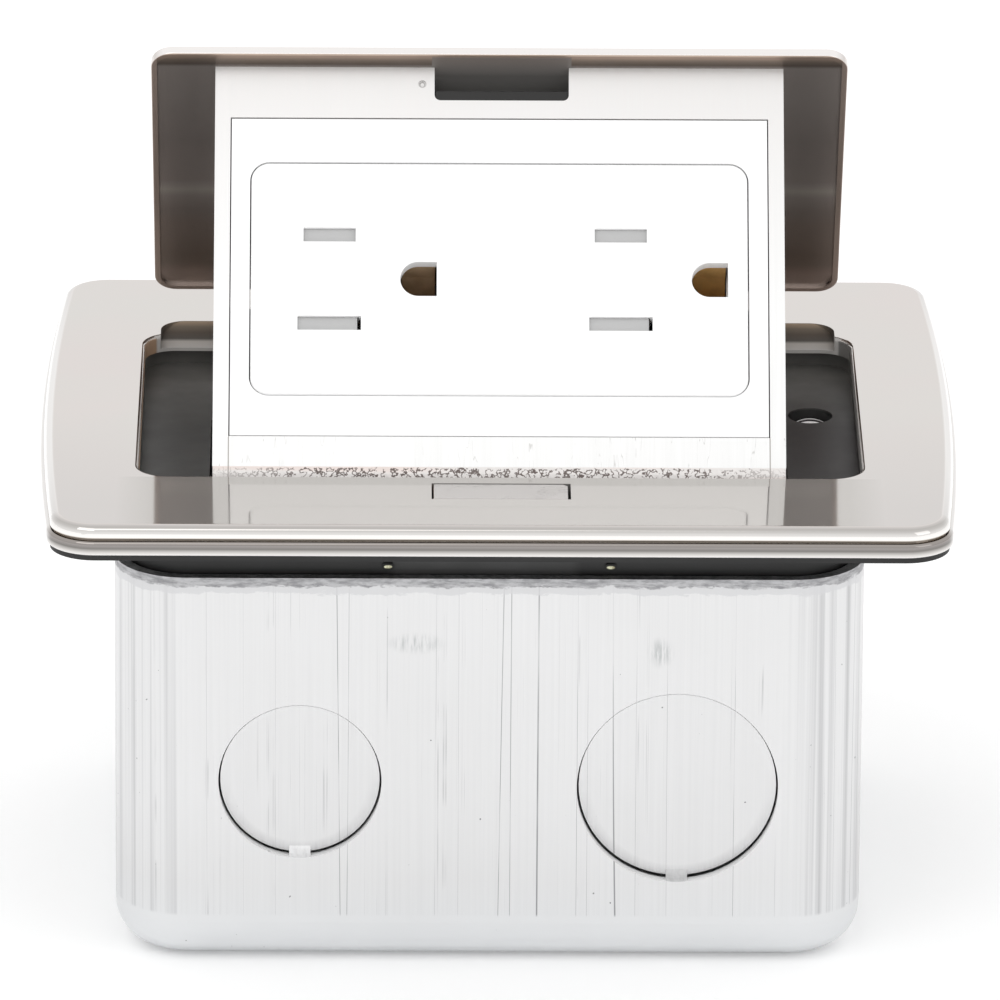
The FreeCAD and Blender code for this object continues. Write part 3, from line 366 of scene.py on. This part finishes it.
def galvanised():
    """Drawn steel: long upright lines that stop above a smooth foot, and a torn grey rim."""
    look = Look("galvanised_steel", (0.76, 0.76, 0.765), 1.0, 0.32)
    z = look.axis("Z")
    drawn = look.remap(z, 6.9, 7.3)
    where = look.noise((0.05, 0.05, 0.03), 2, 0.6, (3, 0, 5))
    look.level_front(LINES_BACK)
    strong = look.ridge(look.noise((0.19, 0.19, 0.0008), 1, 0.4, (6, 1, 3)), 0.0018)
    strong = look.times(strong, look.remap(where, 0.42, 0.52, 0.25, 1))
    fine = look.ridge(look.noise((0.62, 0.62, 0.0006), 2, 0.5, (4, 9, 2)), 0.005)
    patchy = look.noise((0.2, 0.2, 0.06), 2, 0.6)
    fine = look.times(fine, look.remap(patchy, 0.5, 0.62, 0, 0.45))
    brushed = look.remap(look.noise((2.2, 2.2, 0.02), 4, 0.6), 0.35, 0.7, 0, 0.06)
    look.source = look.coords.outputs["Object"]
    corner = look.remap(look.aside(BOX_MIDDLE), 39, 44)
    bands = look.remap(look.noise((0.7, 0.7, 0.003), 3, 0.6, (0, 9, 1)), 0.47, 0.66, 0, 0.5)
    lines = look.most(strong, fine, look.times(bands, corner), brushed)
    lines = look.times(lines, drawn)
    tone = look.mix(look.noise((0.03, 0.03, 0.03), 2), (0.695, 0.695, 0.695), (0.755, 0.755, 0.76))
    foot = look.mix(look.noise((0.06, 0.06, 0.06), 2), (0.72, 0.73, 0.74), (0.77, 0.78, 0.79))
    base = look.mix(look.remap(z, 5, 12), foot, tone)
    base = look.mix(lines, base, (0.30, 0.30, 0.31))
    for centre, size in SMUDGES:
        hatch = look.remap(look.noise((2.6, 2.6, 0.25), 4, 0.7), 0.42, 0.6, 0, 0.6)
        smudge = look.times(look.spot(centre, size, 0.8), hatch)
        base = look.mix(smudge, base, (0.36, 0.38, 0.38))
    for centre, radius in KNOCKOUTS:
        base = look.mix(crescent(look, centre, radius), base, (0.36, 0.36, 0.365))
    # painted highlight on the cut walls round the knockouts: near white and not metallic, painted a
    # little darker further in as shade
    depth = look.ramp(look.remap(look.axis("Y"), BOX_FRONT, BOX_FRONT + 1.6), [
        (0.0, (1.0, 1.0, 1.0)), (0.6, (0.97, 0.97, 0.97)), (1.0, (0.8, 0.8, 0.8))])
    walls = look.most(*(cut_wall(look, centre, radius) for centre, radius in KNOCKOUTS))
    base = look.mix(walls, base, depth)
    look.metallic(look.remap(walls, 0, 1, 1, 0))
    specks = look.remap(look.noise((1.5, 1.5, 1.5), 1, 0.4, (5, 5, 5)), 0.80, 0.82)
    base = look.mix(specks, base, (0.25, 0.25, 0.26))
    jag = look.noise((0.35, 0.35, 0.9), 5, 0.75)
    ragged = look.math("ADD", z, look.remap(jag, 0, 1, -1.1, 1.1))
    top = BOX_TOP / MM
    pale = look.remap(ragged, top - 2.3, top - 2.1, 0, 0.8)
    grey = look.remap(ragged, top - 1.25, top - 1.1, 0, 1)
    base = look.mix(pale, base, (0.60, 0.60, 0.61))
    torn = look.remap(look.noise((0.5, 0.5, 2.2), 4, 0.75), 0.40, 0.62)
    torn = look.mix(torn, (0.56, 0.56, 0.57), (0.34, 0.34, 0.35))
    look.color(look.mix(grey, base, torn))
    look.roughness(look.remap(grey, 0, 1, 0.3, 0.6))
    look.bump(look.times(look.noise((1.2, 1.2, 0.008), 3), drawn), 0.12, 0.04)
    return look


def round_knockout(look, centre):
    """Height above a knockout's middle, and distance from it, both seen from the front."""
    x = look.math("ADD", look.axis("X"), -centre[0])
    z = look.math("ADD", look.axis("Z"), -centre[1])
    return z, look.radial(x, z)


def cut_wall(look, centre, radius):
    """Where the punched wall round a knockout shows below its slug; painted near white there as a
    highlight.
    """
    _, away = round_knockout(look, centre)
    near = look.times(look.remap(away, radius - 0.3, radius - 0.2),
                      look.remap(away, radius + 0.5, radius + 0.4))
    side = look.remap(look.facing((0, -1, 0)), 0.7, 0.5)
    return look.times(near, side, look.remap(look.axis("Y"), -39, -39.2))


def crescent(look, centre, radius):
    """Shade on a knockout's slug, along the lower part of its edge."""
    z, away = round_knockout(look, centre)
    edge = look.times(look.remap(away, radius - 2.0, radius - 0.3),
                      look.remap(away, radius + 0.02, radius - 0.02))
    low = look.remap(z, 0.15 * radius, -0.75 * radius)
    front = look.remap(look.axis("Y"), -39, -40)
    rough = look.remap(look.noise((1.5, 1.5, 0.3), 4, 0.7), 0.3, 0.7, 0.45, 1)
    return look.times(edge, low, front, rough, 0.75)


def plain(name, color, metallic, roughness, spread=0.15, bump=0.1):
    """A nearly even finish: a little cloud in the colour, a fine grain in the surface."""
    look = Look(name, color, metallic, roughness)
    cloud = look.noise((0.12, 0.12, 0.12), 3)
    dark = tuple(c * (1 - spread) for c in color)
    light = tuple(min(1, c * (1 + spread / 2)) for c in color)
    look.color(look.mix(cloud, dark, light))
    look.roughness(look.remap(cloud, 0.3, 0.7, roughness * 0.9, min(1, roughness * 1.1)))
    look.bump(look.noise((2, 2, 2), 3), bump, 0.02)
    return look


def side_seam(look):
    """1 along the two lines where the bracket's web meets its sides."""
    off = look.math("ABSOLUTE", look.math("SUBTRACT", look.aside(), SIDE_SEAM))
    return look.remap(off, 0.10, 0.05)


def aluminium():
    """The bracket: pale satin sheet, brushed below the insert, with a line down each side seam,
    painted shade towards its head and a thin painted shade outline round its pip.
    """
    look = Look("aluminium", (0.86, 0.86, 0.85), 0.75, 0.4)
    brushed = look.noise((2.6, 0.06, 0.06), 4, 0.6)
    streaks = look.ridge(look.noise((0.6, 0.05, 0.05), 2, 0.5, (2, 5, 1)), 0.004)
    patch = look.remap(look.noise((0.3, 0.3, 0.5), 2, 0.6, (1, 8, 3)), 0.5, 0.58, 0, 0.6)
    up = look.along(PANEL_UP, FOOT)
    front = look.remap(look.facing(BRACKET_FRONT), 0.9, 0.95)
    band = look.times(look.remap(up, 4.4, 4.2), front)
    # painted shade: the sheet is darker towards its head
    head = look.remap(up, 20, 52)
    pale = look.mix(head, (0.86, 0.86, 0.855), (0.775, 0.76, 0.75))
    pale = look.mix(look.remap(brushed, 0.35, 0.7, 0, 0.4), pale, (0.80, 0.80, 0.79))
    pale = look.mix(look.times(streaks, patch, band), pale, (0.50, 0.49, 0.47))
    seam = look.times(side_seam(look), band)
    pale = look.mix(look.times(seam, 0.8), pale, (0.25, 0.22, 0.20))
    # painted shade: a thin grey ring round the rim of the tooling pip
    away = look.distance(PIP)
    ring = look.times(look.remap(away, 0.42, 0.46), look.remap(away, 0.56, 0.52))
    look.color(look.mix(look.times(ring, 0.6), pale, (0.25, 0.24, 0.23)))
    look.roughness(look.remap(brushed, 0.3, 0.7, 0.36, 0.46))
    look.bump(brushed, 0.08, 0.02)
    return look


def sawn_edge():
    """The torn lip that the saw left along the bracket's foot."""
    look = Look("sawn_edge", (0.9, 0.86, 0.84), 0.0, 0.5)
    side = look.remap(look.noise((0.02, 0.4, 0.4), 1), 0.45, 0.55)
    tone = look.mix(side, (0.84, 0.74, 0.70), (0.82, 0.79, 0.77))
    squiggle = look.ridge(look.noise((1.1, 1.1, 1.1), 2, 0.6, (4, 4, 4)), 0.06)
    jag = look.remap(look.noise((0.7, 0.7, 0.7), 3), 0.3, 0.7, -0.2, 0.2)
    torn = look.remap(look.math("ADD", look.axis("Z"), jag), FOOT[2] - 0.12, FOOT[2] - 0.2)
    squiggle = look.times(squiggle, torn, look.remap(look.aside(), 37, 26, 0.25, 0.95))
    seam = look.times(side_seam(look), 0.6)
    look.color(look.mix(look.most(squiggle, seam), tone, (0.10, 0.07, 0.06)))
    look.roughness(look.remap(side, 0, 1, 0.45, 0.6))
    look.bump(look.noise((2, 2, 2), 3), 0.3, 0.05)
    return look


def aged_bronze():
    """The ground contacts: stained, and more golden in the right outlet."""
    look = Look("aged_bronze", (0.5, 0.34, 0.2), 0.15, 0.4)
    stain = look.remap(look.noise((0.5, 0.5, 0.5), 4, 0.6), 0.3, 0.7)
    warm = look.remap(look.axis("X"), 0, 5)
    look.color(look.mix(stain, look.mix(warm, (0.46, 0.32, 0.19), (0.56, 0.34, 0.13)),
                        look.mix(warm, (0.58, 0.41, 0.26), (0.74, 0.46, 0.17))))
    look.roughness(look.remap(stain, 0, 1, 0.5, 0.35))
    look.bump(look.noise((4, 4, 4), 3), 0.08, 0.02)
    return look


def frame_coat():
    """Black zinc: greyer in the left tray, browner in the right, with painted light towards the
    back of the trays, black on the neck below.
    """
    look = Look("frame_coat", (0.035, 0.034, 0.034), 0.0, 0.42)
    x, z = look.axis("X"), look.axis("Z")
    tray = look.mix(look.remap(x, -5, 5), (0.040, 0.040, 0.038), (0.011, 0.007, 0.007))
    # painted light: the trays are lighter towards the back
    tray = look.mix(look.remap(look.axis("Y"), 2, 22), tray, (0.125, 0.12, 0.112))
    middle = look.remap(look.aside(-2), 13, 11.5)
    neck = look.mix(middle, (0.009, 0.009, 0.009), (0.045, 0.045, 0.045))
    cloud = look.noise((0.15, 0.15, 0.15), 3)
    base = look.mix(look.remap(z, NECK_TOP - 0.1, NECK_TOP + 0.1), neck, tray)
    look.color(look.mix(look.remap(cloud, 0.3, 0.7, 0, 0.3), base, (0.02, 0.019, 0.018)))
    look.roughness(look.remap(cloud, 0.3, 0.7, 0.38, 0.46))
    look.bump(look.noise((3, 3, 3), 3), 0.05, 0.02)
    return look


def screw_zinc():
    """The deep screw: dark, with a painted highlight across the crown of its head, in patches."""
    look = Look("screw_zinc", (0.5, 0.5, 0.5), 0.0, 0.35)
    # painted highlight: bright in patches where the head faces up
    crown = look.remap(look.facing((0, 0, 1)), 0.2, 0.4)
    glint_patches = look.remap(look.noise((1.2, 1.2, 1.2), 3), 0.3, 0.6, 0.5, 1)
    look.color(look.mix(look.times(crown, glint_patches), (0.10, 0.09, 0.09), (1.0, 0.98, 0.96)))
    look.roughness(look.remap(glint_patches, 0.5, 1, 0.5, 0.3))
    return look


def rivet_look():
    """Black rivets, each with a painted highlight spot of pale brass."""
    look = Look("rivet", (0.02, 0.02, 0.02), 0.4, 0.4)
    x = look.math("SUBTRACT", look.aside(), RIVET_X)
    z = look.times(look.math("ADD", look.axis("Z"), -RIVET_Z), 2.4)
    # painted highlight: a pale brass spot at the middle of each rivet head
    painted_glint = look.remap(look.radial(x, z), 0.6, 0.45)
    glint_tint = look.remap(look.noise((2.5, 2.5, 2.5), 3), 0.4, 0.6)
    glint_tint = look.mix(glint_tint, (0.85, 0.86, 0.62), (0.40, 0.36, 0.22))
    look.color(look.mix(painted_glint, (0.018, 0.018, 0.017), glint_tint))
    look.roughness(look.remap(painted_glint, 0, 1, 0.45, 0.3))
    return look


def dress_all():
    dress(satin_nickel(), "cover_plate")
    dress(lid_nickel(), "lid")
    dress(button_nickel(), "latch_button")
    dress(galvanised(), "steel_box", "box_lugs")
    dress(frame_coat(), "mech_frame")
    dress(screw_zinc(), "frame_screw")
    dress(rivet_look(), "retainer_rivets")
    dress(plain("gasket_rubber", (0.012, 0.012, 0.012), 0.0, 0.6), "gasket", "stop_pads")
    dress(aluminium(), "bracket")
    dress(plain("black_nylon", (0.010, 0.0095, 0.009), 0.0, 0.45), "catch_block")
    dress(plain("white_plastic", (0.97, 0.97, 0.97), 0.0, 0.4, spread=0.01, bump=0.02),
          "insert_panel", "receptacle_face", "receptacle_body")
    dress(plain("grey_plastic", (0.50, 0.50, 0.50), 0.0, 0.5, spread=0.04),
          "shutter_left", "shutter_right")
    dress(plain("zinc_steel", (0.72, 0.72, 0.72), 1.0, 0.3),
          "plate_screws", "hinge_pins", "bolt_retainer", "latch_bolt", "lid_nuts",
          "neutral_screws", "device_strap", "strap_screws")
    dress(plain("spring_steel", (0.4, 0.4, 0.41), 1.0, 0.35),
          "torsion_springs", "pin_clips", "button_springs", "shutter_springs")
    dress(plain("brass", (0.62, 0.42, 0.16), 1.0, 0.35),
          "hot_contacts", "neutral_contacts", "hot_screws")
    dress(aged_bronze(), "ground_contacts")
    dress(plain("green_screw", (0.04, 0.26, 0.1), 0.8, 0.35), "green_screw", "ground_screw")


# ---- the sawn lip at the bracket's foot ----
def foot_lip():
    """A ragged lip hanging from the foot of the bracket's front face, in three lengths."""
    rng = random.Random(7)
    y, z = FOOT[1], FOOT[2]
    mesh = bmesh.new()
    for x0, x1 in ((-BRACKET_HALF, -SIDE_SEAM), (-SIDE_SEAM, SIDE_SEAM),
                   (SIDE_SEAM, BRACKET_HALF)):
        count = max(8, int((x1 - x0) / LIP_STEP))
        rows = []
        for i in range(count + 1):
            x = x0 + (x1 - x0) * i / count
            section = [
                (y + 0.01, z),
                (y - 0.32 - rng.uniform(0, 0.08), z - 0.30 - rng.uniform(0, 0.08)),
                (y - 0.80 - rng.uniform(0, 0.08), z - 0.66 - rng.uniform(0, 0.08)),
                (y - 1.15, z - 1.10 - rng.uniform(0, 0.10)),
                (y + 1.25, z - 1.40)]
            rows.append([mesh.verts.new((x * MM, a * MM, b * MM)) for a, b in section])
        for a, b in zip(rows, rows[1:]):
            for k in range(5):
                mesh.faces.new((a[k], a[(k + 1) % 5], b[(k + 1) % 5], b[k]))
        mesh.faces.new(rows[0])
        mesh.faces.new(rows[-1])
    bmesh.ops.recalc_face_normals(mesh, faces=mesh.faces)
    data = bpy.data.meshes.new("foot_lip")
    mesh.to_mesh(data)
    mesh.free()
    piece = bpy.data.objects.new("foot_lip", data)
    bpy.context.scene.collection.objects.link(piece)
    data.materials.append(sawn_edge().material)
    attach(piece, "module")


# ---- floor, light and camera ----
def floor():
    """A pale floor that glows a little, so that it stays white round the box."""
    mesh = bpy.data.meshes.new("floor")
    s = 6.0                                  # half its width, metres
    mesh.from_pydata([(-s, -s, 0), (s, -s, 0), (s, s, 0), (-s, s, 0)], [], [(0, 1, 2, 3)])
    thing = bpy.data.objects.new("floor", mesh)
    bpy.context.scene.collection.objects.link(thing)
    thing.location.z = -0.0002               # just under the box
    look = Look("floor", (0.99, 0.99, 0.99), 0.0, 0.9)
    look.shader.inputs["Emission Color"].default_value = (1, 1, 1, 1)
    look.shader.inputs["Emission Strength"].default_value = 0.12
    mesh.materials.append(look.material)


def sky():
    """Even white light from all round."""
    world = bpy.data.worlds.new("studio")
    bpy.context.scene.world = world
    world.use_nodes = True
    world.node_tree.nodes["Background"].inputs["Color"].default_value = (1, 1, 1, 1)
    world.node_tree.nodes["Background"].inputs["Strength"].default_value = 1.0


def softbox(name, place, aim, size, power):
    """A rectangular lamp; places and sizes in metres, power in watts."""
    light = bpy.data.lights.new(name, "AREA")
    light.shape = "RECTANGLE"
    light.size, light.size_y = size
    light.energy = power
    thing = bpy.data.objects.new(name, light)
    bpy.context.scene.collection.objects.link(thing)
    thing.location = place
    thing.rotation_euler = (Vector(aim) - Vector(place)).to_track_quat("-Z", "Y").to_euler()


def camera():
    """Above the front, turned half a degree, with a slight roll."""
    tilt, turn, roll = math.radians(20.07), math.radians(-0.52), math.radians(0.39)
    distance, focal = 1.863, 13.726          # metres, and focal length over picture width
    sensor = 36
    target = Vector((0.38, 0.75, PLATE_TOP / MM - 14.68)) * MM
    ahead = Vector((-math.sin(turn) * math.cos(tilt), math.cos(turn) * math.cos(tilt),
                    -math.sin(tilt)))
    right = ahead.cross(Vector((0, 0, 1))).normalized()
    up = right.cross(ahead)
    c, s = math.cos(roll), math.sin(roll)
    x, y, z = right * c + up * s, up * c - right * s, -ahead
    data = bpy.data.cameras.new("camera")
    data.sensor_width = sensor
    data.lens = sensor * focal
    data.clip_end = 50
    thing = bpy.data.objects.new("camera", data)
    bpy.context.scene.collection.objects.link(thing)
    turned = Matrix((x, y, z)).transposed().to_4x4()
    thing.matrix_world = Matrix.Translation(target - ahead * distance) @ turned
    bpy.context.scene.camera = thing


dress_all()
foot_lip()
floor()
sky()
softbox("key", (-0.5, -0.9, 1.3), (0, 0, 0.05), (1.0, 0.8), 2.4)
softbox("fill", (0.9, -0.8, 0.7), (0, 0, 0.05), (0.8, 0.8), 1.0)
camera()
bpy.context.scene.view_settings.view_transform = "Standard"
